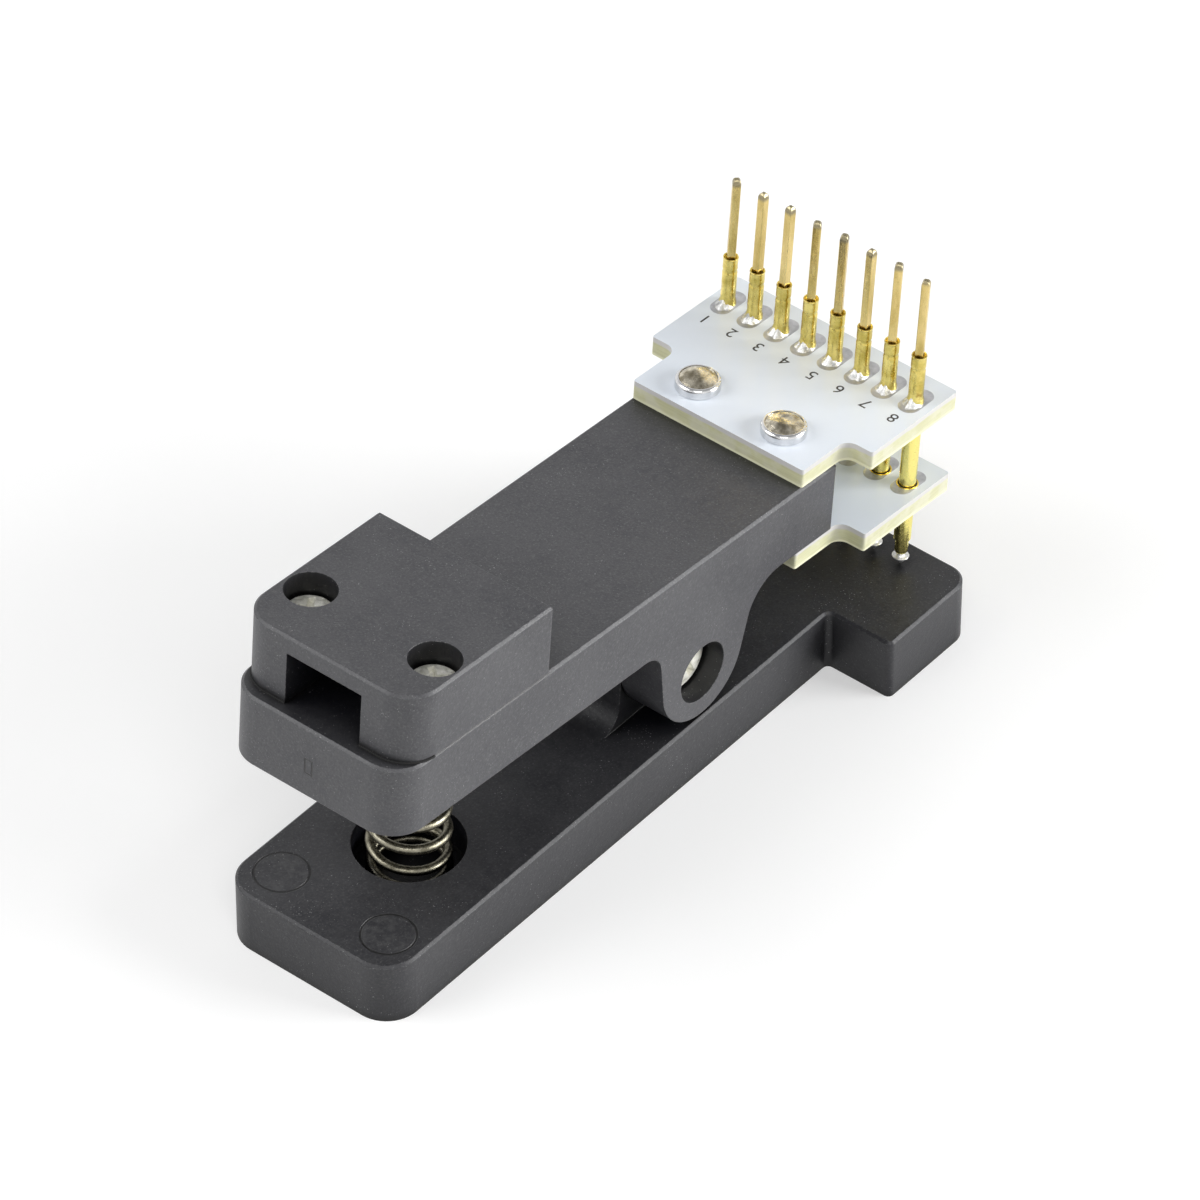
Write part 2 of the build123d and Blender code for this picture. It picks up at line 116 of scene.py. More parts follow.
# Main spring
SPRING_X = -18.6
SPRING_FLOOR = 2.4
SPRING_TOP = 18.6
SPRING_RADIUS = 2.85
WIRE_RADIUS = 0.38
OPEN_PITCH = 2.15
END_PITCH = 0.9
BOTTOM_TURNS = 1.2
TOP_TURNS = 1.2
FRONT_LEVEL = 5.15
FRONT_ANGLE = math.radians(230)

# Numbers printed on the upper board
NUMBER_ALONG = 55.9
NUMBER_SIZE = 1.5

# Edges of a piece that turn by more than this stay hard
HARD_EDGE = math.radians(35)


# Skins: points in millimetres with arrays of faces, all facing outward

def tube(rings):
    """Closed skin over rings of points: quads join each ring to the next, and a fan of triangles
    joins the first and last ring to the mean of its points. Rings turn counterclockwise seen
    from where the rows lead, so that the faces point outward."""
    count, around = rings.shape[:2]
    row = np.arange(count - 1)[:, None] * around
    here = np.arange(around)
    there = (here + 1) % around
    sides = np.stack([row + here, row + there, row + around + there, row + around + here], -1)
    last = (count - 1) * around
    first_middle = count * around
    points = np.concatenate([rings.reshape(-1, 3), rings[:1].mean(1), rings[-1:].mean(1)])
    first_fan = np.stack([there, here, np.full(around, first_middle)], -1)
    last_fan = np.stack([last + here, last + there, np.full(around, first_middle + 1)], -1)
    return points, [sides.reshape(-1, 4), first_fan, last_fan]


def full_turn(steps):
    """Angles of a full turn in even steps, without the last, which would repeat the first."""
    return np.arange(steps) * 2 * math.pi / steps


def round_rings(radius, angle, height):
    """Rings of points x = radius cos a, y = radius sin a, z = height, where each of the three may
    be one value, a column of values or one for each angle."""
    radius, angle, height = np.broadcast_arrays(radius, angle, height)
    return np.stack([radius * np.cos(angle), radius * np.sin(angle), height], -1)


def turned(profile, around=40):
    """Closed skin of revolution: each (radius, height) of the profile is carried round the upright
    axis."""
    radius, height = np.array(profile, float).T[:, :, None]
    return tube(round_rings(radius, full_turn(around), height))


def arc(centre, radius, start, end, steps=6):
    """Points (r, z) of a quarter or less of a circle, from the start to the end angle in degrees."""
    angle = np.radians(np.linspace(start, end, steps))
    return [(centre[0] + radius * c, centre[1] + radius * s) for c, s in zip(np.cos(angle), np.sin(angle))]


def joined(skins):
    """One skin of several: their points in a row, and the numbers in each one's faces moved past
    the points that come before it."""
    starts = np.cumsum([0] + [len(points) for points, faces in skins[:-1]])
    points = np.concatenate([points for points, faces in skins])
    faces = [part + start for (_, parts), start in zip(skins, starts) for part in parts]
    return points, faces


def stood(skin, foot, up, side):
    """A skin drawn round an upright axis, moved so that its axis starts at foot and runs along up:
    place = foot + x side + y (up x side) + z up."""
    points, faces = skin
    return np.asarray(foot) + points @ np.array([side, np.cross(up, side), up]), faces


def arm_place(along, across, above):
    """Place in the clip of a point given in the arm's own frame."""
    return ARM_ORIGIN + along * ALONG + across * ACROSS + above * ABOVE


def on_arm(skin, along, across, above, upside_down=False, turn=0.0):
    """A skin stood on the arm, turned about its own axis by an angle in radians."""
    side = math.cos(turn) * ALONG + math.sin(turn) * ACROSS
    up = -ABOVE if upside_down else ABOVE
    return stood(skin, arm_place(along, across, above), up, side)


def pin_across(pin):
    """Distance of a pin from the middle of the arm; pin 1 is on the far side."""
    return (4.5 - pin) * PIN_PITCH


def piece(name, skin, material, body, replaces=()):
    """Mesh object of a skin, with its place in its mesh."""
    points, faces = skin
    corners = [part.shape[1] * np.ones(len(part), int) for part in faces]
    corners = np.concatenate(corners)
    mesh = bpy.data.meshes.new(name)
    mesh.vertices.add(len(points))
    mesh.vertices.foreach_set("co", (points * MM).ravel())
    mesh.loops.add(int(corners.sum()))
    mesh.loops.foreach_set("vertex_index", np.concatenate([part.ravel() for part in faces]))
    mesh.polygons.add(len(corners))
    mesh.polygons.foreach_set("loop_start", np.concatenate([[0], np.cumsum(corners)[:-1]]))
    mesh.update(calc_edges=True)
    mesh.shade_smooth()
    mesh.set_sharp_from_angle(angle=HARD_EDGE)
    mesh.materials.append(material)
    made = bpy.data.objects.new(name, mesh)
    bpy.context.collection.objects.link(made)
    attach(made, body)
    if replaces:
        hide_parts(*replaces)
    return made


# Nodes of the materials

def add(tree, kind, inputs=None, **settings):
    """A node of that kind. An input given as a socket is linked, and any other is set."""
    made = tree.nodes.new(kind)
    for name, value in settings.items():
        setattr(made, name, value)
    for key, value in (inputs or {}).items():
        if isinstance(value, bpy.types.NodeSocket):
            tree.links.new(value, made.inputs[key])
        else:
            made.inputs[key].default_value = value
    return made


def maths(tree, operation, *values):
    """Result of a Math node."""
    return add(tree, "ShaderNodeMath", dict(enumerate(values)), operation=operation).outputs[0]


def dot(tree, first, second):
    """Dot product of two vectors."""
    return add(tree, "ShaderNodeVectorMath", {0: first, 1: second}, operation="DOT_PRODUCT").outputs["Value"]


def between(tree, value, low, high, to_low=0.0, to_high=1.0):
    """Value carried smoothly from the range low to high to the range to_low to to_high."""
    node = add(tree, "ShaderNodeMapRange", {
        "Value": value, "From Min": low, "From Max": high, "To Min": to_low, "To Max": to_high,
    }, interpolation_type="SMOOTHSTEP")
    return node.outputs[0]


def mixed(tree, share, first, second):
    """Colour that goes from the first to the second as share goes from 0 to 1."""
    node = add(tree, "ShaderNodeMix", {0: share, 6: first, 7: second}, data_type="RGBA")
    return node.outputs[2]


def millimetres(tree, stretch=(1, 1, 1)):
    """Object coordinates in millimetres, stretched for a pattern that runs one way."""
    coordinates = add(tree, "ShaderNodeTexCoord").outputs["Object"]
    scale = [1000 * s for s in stretch]
    return add(tree, "ShaderNodeMapping", {"Vector": coordinates, "Scale": scale}).outputs[0]


def noise(tree, place, scale, detail=3.0, roughness=0.55):
    """Soft noise, whose scale is in bumps per millimetre."""
    inputs = {"Vector": place, "Scale": scale, "Detail": detail, "Roughness": roughness}
    return add(tree, "ShaderNodeTexNoise", inputs).outputs["Fac"]


def bump(tree, height, depth, normal=None):
    """Normal bent by a height from 0 to 1 that stands for a depth in millimetres."""
    inputs = {"Height": height, "Distance": depth * MM, "Strength": 1.0}
    if normal is not None:
        inputs["Normal"] = normal
    return add(tree, "ShaderNodeBump", inputs).outputs[0]


def openness(tree, reach, samples=6):
    """Share of the room round a point that other parts leave open, within a reach in millimetres."""
    return add(tree, "ShaderNodeAmbientOcclusion", {"Distance": reach * MM}, samples=samples).outputs["AO"]


def material(name, **constants):
    """New material with its tree and its shader, whose constant sockets are set by name."""
    made = bpy.data.materials.new(name)
    made.use_nodes = True
    tree = made.node_tree
    shader = tree.nodes["Principled BSDF"]
    for key, value in constants.items():
        shader.inputs[key.replace("_", " ")].default_value = value
    return made, tree, shader


def feed(tree, shader, **sockets):
    """Links each named input of the shader to its socket."""
    for key, socket in sockets.items():
        tree.links.new(socket, shader.inputs[key.replace("_", " ")])


def grey(value, blue=1.0):
    """Neutral colour of that brightness, with its blue scaled."""
    return (value, value, value * blue, 1)


def height_on_arm(tree, place):
    """Height over the arm's underside in millimetres, from object coordinates in millimetres."""
    return maths(tree, "SUBTRACT", dot(tree, place, tuple(ABOVE)), float(ARM_ORIGIN @ ABOVE))


# Black moulded plastic

def worn_edge(tree, place, seam):
    """The normal of edges rounded by a tenth of a millimetre, and the share by which they are painted
    pale as wear and as highlight: where that normal leaves the true one, in patches, and not down in a seam."""
    soft = add(tree, "ShaderNodeBevel", {"Radius": 0.10 * MM}, samples=6).outputs[0]
    true = add(tree, "ShaderNodeNewGeometry").outputs["Normal"]
    edge = between(tree, dot(tree, soft, true), 0.99, 0.84)
    patches = between(tree, noise(tree, place, 3.2, 5.0, 0.75), 0.49, 0.61)
    wear_and_highlight = maths(tree, "MULTIPLY", maths(tree, "MULTIPLY", edge, patches), between(tree, seam, 0.8, 0.95))
    return soft, wear_and_highlight


def ejector_ring(tree, place, middle, colour, normal):
    """Colour and normal with a round ejector mark laid over them: a thin dark groove at the mark's
    radius from its middle, and a paler mottle inside it."""
    away = add(tree, "ShaderNodeVectorMath", {0: place, 1: middle}, operation="DISTANCE").outputs["Value"]
    line = maths(tree, "ABSOLUTE", maths(tree, "SUBTRACT", away, EJECTOR_RADIUS))
    ring = between(tree, line, 0.13, 0.04)
    colour = mixed(tree, maths(tree, "MULTIPLY", ring, 0.85), colour, grey(0.003))
    inside = maths(tree, "MULTIPLY", between(tree, away, EJECTOR_RADIUS, EJECTOR_RADIUS - 0.1),
                   between(tree, noise(tree, place, 1.6, 5.0), 0.45, 0.7))
    colour = mixed(tree, maths(tree, "MULTIPLY", inside, 0.25), colour, grey(0.10))
    return colour, bump(tree, maths(tree, "SUBTRACT", 1.0, ring), 0.13, normal)


def end_rectangle(tree, place, middle, colour, normal):
    """Colour and normal with the arm's end mark laid over them: a thin dark groove where a point is
    just as far from the middle as the rectangle's half, in the direction in which it is furthest out."""
    off = add(tree, "ShaderNodeVectorMath", {0: place, 1: middle}, operation="SUBTRACT").outputs[0]
    past = []
    for direction, half in zip((ALONG, ACROSS, ABOVE), END_MARK_HALVES):
        distance = maths(tree, "ABSOLUTE", dot(tree, off, tuple(direction)))
        past.append(maths(tree, "SUBTRACT", distance, half))
    furthest = maths(tree, "MAXIMUM", maths(tree, "MAXIMUM", past[0], past[1]), past[2])
    groove = between(tree, maths(tree, "ABSOLUTE", furthest), 0.11, 0.04)
    colour = mixed(tree, maths(tree, "MULTIPLY", groove, 0.8), colour, grey(0.006))
    return colour, bump(tree, maths(tree, "SUBTRACT", 1.0, groove), 0.08, normal)


def moulded_plastic(name, shine, dark, ejector_marks=(), end_mark=None):
    """Black plastic with a shine and a darkness of its own: a little cloudy, with a fine grain,
    patches of pale specks, painted shade in hollows and seams, and edges painted pale as wear and as
    highlight. The marks of the mould are given by their middles."""
    made, tree, shader = material(name, Specular_IOR_Level=shine, IOR=1.5)
    place = millimetres(tree)
    broad = noise(tree, place, 0.16, 4.0)
    mottle = noise(tree, place, 1.6, 5.0, 0.65)
    grain = noise(tree, place, 5.5, 3.0, 0.7)
    colour = mixed(tree, between(tree, broad, 0.25, 0.75), grey(dark, 1.20), grey(dark * 1.9, 1.10))
    colour = mixed(tree, between(tree, mottle, 0.34, 0.66, 0.0, 0.4), colour, grey(dark * 2.4, 1.05))
    colour = mixed(tree, between(tree, grain, 0.30, 0.50, 0.30, 0.0), colour, grey(dark * 0.3, 1.2))
    colour = mixed(tree, between(tree, grain, 0.52, 0.76), colour, grey(dark * 3.4, 1.03))
    # Painted shade: the colour goes near black where other parts close in within 8 mm.
    colour = mixed(tree, between(tree, openness(tree, 8, 8), 0.28, 0.92), (0.002, 0.002, 0.004, 1), colour)
    # Painted shade: the colour goes near black in narrow seams within 0.8 mm of another part.
    seam = openness(tree, 0.8)
    colour = mixed(tree, between(tree, seam, 0.58, 0.92), grey(0.001), colour)
    fine = noise(tree, place, 8.0, 1.0, 0.5)
    patch = between(tree, noise(tree, place, 0.30, 3.0), 0.46, 0.66, 0.0, 0.055)
    speck = between(tree, maths(tree, "ADD", fine, patch), 0.755, 0.79)
    colour = mixed(tree, maths(tree, "MULTIPLY", speck, 0.7), colour, grey(0.30))
    soft, wear_and_highlight = worn_edge(tree, place, seam)
    # Edges painted pale, partly as wear and partly as a painted highlight.
    colour = mixed(tree, maths(tree, "MULTIPLY", wear_and_highlight, 0.6), colour, grey(0.34))
    height = maths(tree, "ADD", grain, maths(tree, "MULTIPLY", mottle, 1.2))
    normal = bump(tree, height, 0.016, soft)
    for middle in ejector_marks:
        colour, normal = ejector_ring(tree, place, middle, colour, normal)
    if end_mark is not None:
        colour, normal = end_rectangle(tree, place, tuple(end_mark), colour, normal)
    roughness = maths(tree, "ADD", between(tree, broad, 0.3, 0.7, 0.32, 0.40),
                      maths(tree, "MULTIPLY", mottle, 0.16))
    feed(tree, shader, Base_Color=colour, Roughness=roughness, Normal=normal)
    return made


# White circuit board

def white_board(name, underside):
    """White lacquer on both faces and bare laminate on the edge: under the lacquer's grey roll
    come layers of glass cloth, seen as fine lines along the edge."""
    made, tree, shader = material(name, IOR=1.5)
    place = millimetres(tree)
    facing = add(tree, "ShaderNodeTexCoord").outputs["Normal"]
    face = between(tree, maths(tree, "ABSOLUTE", dot(tree, facing, tuple(ABOVE))), 0.55, 0.85)
    cloud = noise(tree, place, 0.25, 3.0)
    lacquer = mixed(tree, cloud, (0.74, 0.80, 0.88, 1), (0.80, 0.85, 0.92, 1))
    level = maths(tree, "SUBTRACT", height_on_arm(tree, place), underside)
    fray = noise(tree, millimetres(tree, (0.25, 0.25, 2.0)), 2.0, 3.0)
    level = maths(tree, "ADD", level, maths(tree, "MULTIPLY", maths(tree, "SUBTRACT", fray, 0.5), 0.35))
    cloth = noise(tree, millimetres(tree, (0.12, 0.12, 5.0)), 1.6, 3.0, 0.7)
    laminate = mixed(tree, cloth, (0.44, 0.43, 0.25, 1), (0.72, 0.72, 0.47, 1))
    clear = between(tree, noise(tree, place, 0.7, 3.0), 0.42, 0.62, 0.0, 0.6)
    laminate = mixed(tree, clear, laminate, (0.66, 0.65, 0.52, 1))
    laminate = mixed(tree, between(tree, level, 1.10, 1.26), laminate, (0.60, 0.59, 0.58, 1))
    laminate = mixed(tree, between(tree, level, 0.30, 0.12), laminate, (0.78, 0.77, 0.55, 1))
    colour = mixed(tree, face, laminate, lacquer)
    relief = maths(tree, "MULTIPLY", cloth, maths(tree, "SUBTRACT", 1.0, face))
    ripple = noise(tree, place, 0.9, 2.0)
    normal = bump(tree, maths(tree, "ADD", relief, maths(tree, "MULTIPLY", ripple, 0.2)), 0.03)
    roughness = between(tree, face, 0.0, 1.0, 0.55, 0.27)
    feed(tree, shader, Base_Color=colour, Roughness=roughness, Normal=normal)
    return made


# Metals

def metal(name, dark, light, rough, scale, depth, stretch=(1, 1, 1), stain=None, metallic=1.0,
          bands=(), painted_shade_reach=None):
    """Metal whose colour and roughness wander between two values over a noise of that scale, with
    a fine relief. A stain is a darker colour that comes in patches. A band is a colour that comes in
    from one height over the arm to another; the painted shade reach is how near other parts paint shade in."""
    made, tree, shader = material(name, Metallic=metallic)
    place = millimetres(tree, stretch)
    wander = noise(tree, place, scale, 4.0, 0.6)
    fine = noise(tree, place, scale * 6, 3.0, 0.6)
    colour = mixed(tree, between(tree, wander, 0.3, 0.7), dark, light)
    if stain is not None:
        patch = between(tree, noise(tree, millimetres(tree), 0.9, 4.0, 0.6), 0.60, 0.72)
        colour = mixed(tree, patch, colour, stain)
    for start, end, tint in bands:
        share = between(tree, height_on_arm(tree, millimetres(tree)), start, end)
        colour = mixed(tree, share, colour, tint)
    if painted_shade_reach is not None:
        # Painted shade: darker where other parts are within that reach.
        colour = mixed(tree, between(tree, openness(tree, painted_shade_reach), 0.35, 0.85), grey(0.01), colour)
    roughness = between(tree, fine, 0.25, 0.75, rough * 0.75, rough * 1.35)
    height = maths(tree, "ADD", wander, maths(tree, "MULTIPLY", fine, 0.35))
    feed(tree, shader, Base_Color=colour, Roughness=roughness, Normal=bump(tree, height, depth))
    return made


def flat_finish(name, colour, roughness):
    """Ink or shadow: a dull colour with a slight grain."""
    made, tree, shader = material(name)
    place = millimetres(tree)
    grain = noise(tree, place, 6.0, 3.0)
    lighter = tuple(min(1.0, c * 1.6 + 0.01) for c in colour[:3]) + (1,)
    rough = between(tree, grain, 0.2, 0.8, roughness - 0.08, roughness + 0.08)
    feed(tree, shader, Base_Color=mixed(tree, grain, colour, lighter), Roughness=rough,
         Normal=bump(tree, grain, 0.01))
    return made


arm_plastic = moulded_plastic("arm_plastic", 0.60, 0.030,
                              end_mark=arm_place(0, END_MARK_ACROSS, END_MARK_ABOVE))
base_plastic = moulded_plastic("base_plastic", 0.40, 0.020, EJECTOR_MARKS)
top_laminate = white_board("top_board_finish", TOP_BOARD)
lower_laminate = white_board("lower_board_finish", LOWER_BOARD)
# The brighter band from just under the upper board down is painted light on the tubes and barrels.
tube_gold = metal("tube_gold", (0.56, 0.44, 0.10, 1), (0.88, 0.73, 0.24, 1), 0.22, 0.8, 0.008,
                  stain=(0.46, 0.32, 0.08, 1), bands=[(6.6, 5.6, (0.98, 0.86, 0.28, 1))])
post_gold = metal("post_gold", (0.52, 0.39, 0.12, 1), (0.80, 0.63, 0.27, 1), 0.24, 0.7, 0.010,
                  stretch=(1, 1, 0.25), bands=[(18.35, 18.75, (0.30, 0.26, 0.16, 1))])
bright_gold = metal("hole_gold", (0.70, 0.50, 0.08, 1), (0.92, 0.72, 0.20, 1), 0.2, 0.9, 0.01)
tin = metal("pad_tin", (0.36, 0.37, 0.39, 1), (0.56, 0.56, 0.59, 1), 0.42, 0.9, 0.015, metallic=0.7)
solder = metal("solder", (0.34, 0.34, 0.34, 1), (0.78, 0.78, 0.76, 1), 0.32, 2.2, 0.07, metallic=0.9)
silver = metal("plunger_silver", (0.60, 0.60, 0.59, 1), (0.90, 0.90, 0.89, 1), 0.32, 1.6, 0.03,
               metallic=0.7)
nickel = metal("screw_nickel", (0.62, 0.62, 0.63, 1), (0.80, 0.80, 0.80, 1), 0.13, 0.6, 0.006)
crinkled = metal("screw_middle", (0.22, 0.19, 0.13, 1), (0.84, 0.78, 0.64, 1), 0.20, 0.9, 0.05,
                 stretch=(1.3, 1.3, 0.6))
zinc = metal("screw_zinc", (0.70, 0.69, 0.60, 1), (0.98, 0.97, 0.90, 1), 0.34, 1.8, 0.03,
             metallic=0.25)
# The spring's colour gets painted shade where other parts are near.
spring_steel = metal("spring_steel", (0.13, 0.12, 0.085, 1), (0.34, 0.32, 0.25, 1), 0.30, 1.5, 0.02,
                     painted_shade_reach=2.5)
ink = flat_finish("print_ink", (0.02, 0.02, 0.025, 1), 0.55)
gap_shade = flat_finish("gap_shade", (0.003, 0.003, 0.003, 1), 0.9)


# Plastic parts and boards keep their solids

for node, finish in (("base_plate", base_plastic), ("lever_arm", arm_plastic), ("cable_cover", arm_plastic),
                     ("top_board", top_laminate), ("lower_board", lower_laminate)):
    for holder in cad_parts[node].material_slots:
        holder.material = finish


# Screws

def cross_recess(x, y, half_length, half_width, depth):
    """Depth of a cross-shaped recess with sloping walls: 0 outside both bars, and inside it grows
    with the distance from the nearest wall up to the floor, and further towards the middle."""
    first = np.maximum(np.abs(x) - half_length, np.abs(y) - half_width)
    second = np.maximum(np.abs(y) - half_length, np.abs(x) - half_width)
    inside = -np.minimum(first, second)
    floor = depth * (0.55 + 0.45 * np.clip(1 - np.hypot(x, y) / half_length, 0, 1))
    return floor * np.clip(inside / (0.45 * half_width), 0, 1)


def cross_screw(radius, height, shank, length):
    """Pan head with a cross recess on a pointed shank. Up to the head's rim the profile is turned.
    The top is a grid of radius by angle: a dome z = height - (height - rim) (r / R)^5, less the
    cross recess and the fine ripple that the press leaves round it."""
    rim = 0.86 * height
    lower = [(0.02, -length), (shank, -length + 0.7), (shank, 0.0), (radius - 0.06, 0.0),
             (radius, 0.06), (radius, rim)]
    angle = full_turn(96)
    share = np.linspace(0.985, 0.012, 44)[:, None]
    dome = height - (height - rim) * share ** 5
    cut = cross_recess(radius * share * np.cos(angle), radius * share * np.sin(angle),
                       0.80 * radius, 0.15 * radius, 0.42 * height)
    cut = cut + 0.07 * (1 + np.sin(11 * angle)) * np.exp(-((share - 0.80) / 0.13) ** 2)
    lower_radius, lower_height = np.array(lower).T[:, :, None]
    return tube(np.concatenate([round_rings(lower_radius, angle, lower_height),
                                round_rings(radius * share, angle, dome - cut)]))


def hexagon_nut(across_flats, thickness, bore):
    """Nut: the outline's radius is half the flats over the cosine of the angle from the nearest
    flat, cut by a cone at top and bottom, with a countersunk bore."""
    angle = full_turn(72)
    from_flat = (angle + math.pi / 6) % (math.pi / 3) - math.pi / 6
    half = across_flats / 2
    outline = half / np.cos(from_flat)
    chamfer = 0.35
    rows = [(np.minimum(outline, cone), height) for cone, height in (
        (half, 0), (half * 1.16, chamfer), (half * 1.16, thickness - chamfer), (half, thickness))]
    rows += [(bore + chamfer, thickness), (bore, thickness - chamfer), (bore, thickness - 0.8)]
    return tube(np.array([round_rings(radius, angle, height) for radius, height in rows]))


def button_screw(radius, shank, length):
    """Head and shank of a screw whose middle is a separate skin: a profile turned about the axis,
    with an upright side, a rounded shoulder and a groove inside its narrow ring."""
    shoulder = arc((radius - 0.30, 0.58), 0.30, 0, 74, 8)
    return turned([(0.02, -length), (shank, -length + 0.7), (shank, 0.0), (radius - 0.06, 0.0),
                   (radius, 0.06), (radius, 0.4)] + shoulder
                  + [(0.845 * radius, 0.86), (0.825 * radius, 0.76), (0.5 * radius, 0.7)], 72)


def crinkled_middle(radius, seed):
    """Driven middle of a screw head, filled and uneven: z = 0.80 + 0.36 (1 - s^2.4) plus waves of
    three directions that are longer along y, over the share s of the middle's own radius."""
    share = np.linspace(1.0, 0.02, 28)[:, None]
    angle = full_turn(72)
    x = share * np.cos(angle)
    y = share * np.sin(angle)
    waves = sum(np.sin(k * (x * math.cos(k + seed) + 0.5 * y * math.sin(k + seed)) + seed * k) / k
                for k in (4, 7, 11))
    height = 0.80 + 0.36 * (1 - share ** 2.4) + 0.24 * waves * (1 - share ** 8)
    rim = 0.83 * radius
    ground = round_rings(rim, angle, 0.70)[None]
    return tube(np.concatenate([ground, round_rings(rim * share, angle, height)]))


cover_screw = cross_screw(HEAD_RADIUS, COVER_HEAD_HEIGHT, SHANK_RADIUS, COVER_SCREW_LENGTH)
board_screw = button_screw(HEAD_RADIUS, SHANK_RADIUS, BOARD_SCREW_LENGTH)
piece("cover_screw_heads", joined([
    on_arm(cover_screw, COVER_SCREW_ALONG, side * COVER_SCREW_ACROSS, COVER_SEAT, turn=turn)
    for side, turn in zip((1, -1), COVER_SCREW_TURNS)
]), zinc, "arm", ["cover_screws"])
for name, above, upside_down, replaced in (
        ("upper", ARM_TOP + BOARD_THICKNESS, False, "top_board_screws"),
        ("lower", LOWER_BOARD, True, "lower_board_screws")):
    seats = [(BOARD_SCREW_ALONG, side * BOARD_SCREW_ACROSS, above, upside_down) for side in (1, -1)]
    piece(f"{name}_board_screw_heads", joined([on_arm(board_screw, *seat) for seat in seats]),
          nickel, "arm", [replaced])
    piece(f"{name}_board_screw_middles", joined([
        on_arm(crinkled_middle(HEAD_RADIUS, 0.7 + 1.9 * index), *seat) for index, seat in enumerate(seats)
    ]), crinkled, "arm")

pivot_screw = cross_screw(PIVOT_HEAD_RADIUS, PIVOT_HEAD_HEIGHT, PIVOT_SHANK_RADIUS, PIVOT_SCREW_LENGTH)
bar = math.cos(PIVOT_SCREW_TURN) * ALONG + math.sin(PIVOT_SCREW_TURN) * ABOVE
piece("pivot_screw_cross", stood(pivot_screw, PIVOT - PIVOT_SEAT * ACROSS, -ACROSS, bar),
      zinc, "arm", ["pivot_screw"])
nut = hexagon_nut(NUT_ACROSS_FLATS, NUT_THICKNESS, PIVOT_SHANK_RADIUS)
piece("pivot_nut_hexagon", stood(nut, PIVOT + PIVOT_SEAT * ACROSS, ACROSS, ABOVE),
      nickel, "arm", ["pivot_nut"])


# Dark rods that paint the shade in the narrow gap where the cover's rounded front stands on the arm

COVER_FRONT = 1.1
COVER_CORNER = 2.8
COVER_HALF_WIDTH = 8.1
CHANNEL_HALF_WIDTH = 3.45
GAP_HALF_HEIGHT = 0.11


def cover_gap(side):
    """Thin rod along the cover's front from the channel to the rounded corner and round it. The
    path is a straight piece and then a quarter circle, and each ring is middle + r (cos b outward
    + sin b up)."""
    bend = np.radians(np.linspace(0, 88, 20))
    straight = np.linspace(CHANNEL_HALF_WIDTH, COVER_HALF_WIDTH - COVER_CORNER, 6)[:-1]
    along = np.concatenate([COVER_FRONT + 0 * straight, COVER_FRONT + COVER_CORNER * (1 - np.cos(bend))])
    across = np.concatenate([straight, COVER_HALF_WIDTH - COVER_CORNER * (1 - np.sin(bend))])
    middle = np.stack([along, side * across, ARM_TOP + 0 * along], -1)
    outward = np.stack([-np.concatenate([1 + 0 * straight, np.cos(bend)]),
                        side * np.concatenate([0 * straight, np.sin(bend)]), 0 * along], -1)
    around = full_turn(10)
    rings = middle[:, None] + GAP_HALF_HEIGHT * (
        np.cos(around)[:, None] * outward[:, None] + np.sin(around)[:, None] * np.array([0, 0, 1]))
    skin, faces = tube(rings if side < 0 else rings[:, ::-1])
    return ARM_ORIGIN + skin @ np.array([ALONG, ACROSS, ABOVE]), faces


piece("cover_gap_shadows", joined([cover_gap(1), cover_gap(-1)]), gap_shade, "arm")


# Main spring

def coil_spring():
    """Wire carried along a helix that closes at both ends: the height of the wire's middle is the
    running sum of a pitch that goes from the end pitch to the open pitch and back. Each ring of
    the wire is middle + w (cos b outward + sin b (along x outward))."""
    rise = SPRING_TOP - SPRING_FLOOR - 2 * WIRE_RADIUS
    spare = OPEN_PITCH - END_PITCH
    turns = (rise + spare * (BOTTOM_TURNS + TOP_TURNS)) / OPEN_PITCH
    steps_in_a_turn = 48
    turn = np.linspace(0, turns, int(turns * steps_in_a_turn))
    suddenness = 7
    bottom_end = 1 / (1 + np.exp((turn - BOTTOM_TURNS) * suddenness))
    top_end = 1 / (1 + np.exp((turns - TOP_TURNS - turn) * suddenness))
    pitch = OPEN_PITCH - spare * (bottom_end + top_end)
    height = np.concatenate([[0], np.cumsum((pitch[1:] + pitch[:-1]) / 2 * np.diff(turn))])
    height = SPRING_FLOOR + WIRE_RADIUS + height * rise / height[-1]
    turn_at_front = np.interp(FRONT_LEVEL, height, turn)
    angle = FRONT_ANGLE - 2 * math.pi * (turn - turn_at_front)
    outward = np.stack([np.cos(angle), np.sin(angle), 0 * angle], -1)
    middle = np.array([SPRING_X, 0, 0]) + SPRING_RADIUS * outward + height[:, None] * np.array([0, 0, 1])
    along = np.gradient(middle, axis=0)
    along = along / np.linalg.norm(along, axis=1, keepdims=True)
    upward = np.cross(along, outward)
    bend = full_turn(14)
    rings = (middle[:, None] + WIRE_RADIUS * (np.cos(bend)[:, None] * outward[:, None]
             - np.sin(bend)[:, None] * upward[:, None]))
    return tube(rings[:, ::-1])


spring = piece("coil_spring", coil_spring(), spring_steel, "base", ["main_spring"])
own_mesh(spring)


# Contact pins

def dented(skin, dents):
    """Pushes the points of a turned skin in: each dent takes depth x exp(-(arc / width)^2
    - (height / tall)^2) off the radius, arc being measured round the tube."""
    points, faces = skin
    radius = np.hypot(points[:, 0], points[:, 1])
    angle = np.arctan2(points[:, 1], points[:, 0])
    push = 0 * radius
    for at, level, depth, width, tall in dents:
        arc_off = radius * (np.remainder(angle - at + math.pi, 2 * math.pi) - math.pi)
        push = push + depth * np.exp(-(arc_off / width) ** 2 - ((points[:, 2] - level) / tall) ** 2)
    keep = np.where(radius > 0.3, 1 - push / np.maximum(radius, 0.3), 1)
    return points * np.stack([keep, keep, 1 + 0 * keep], -1), faces


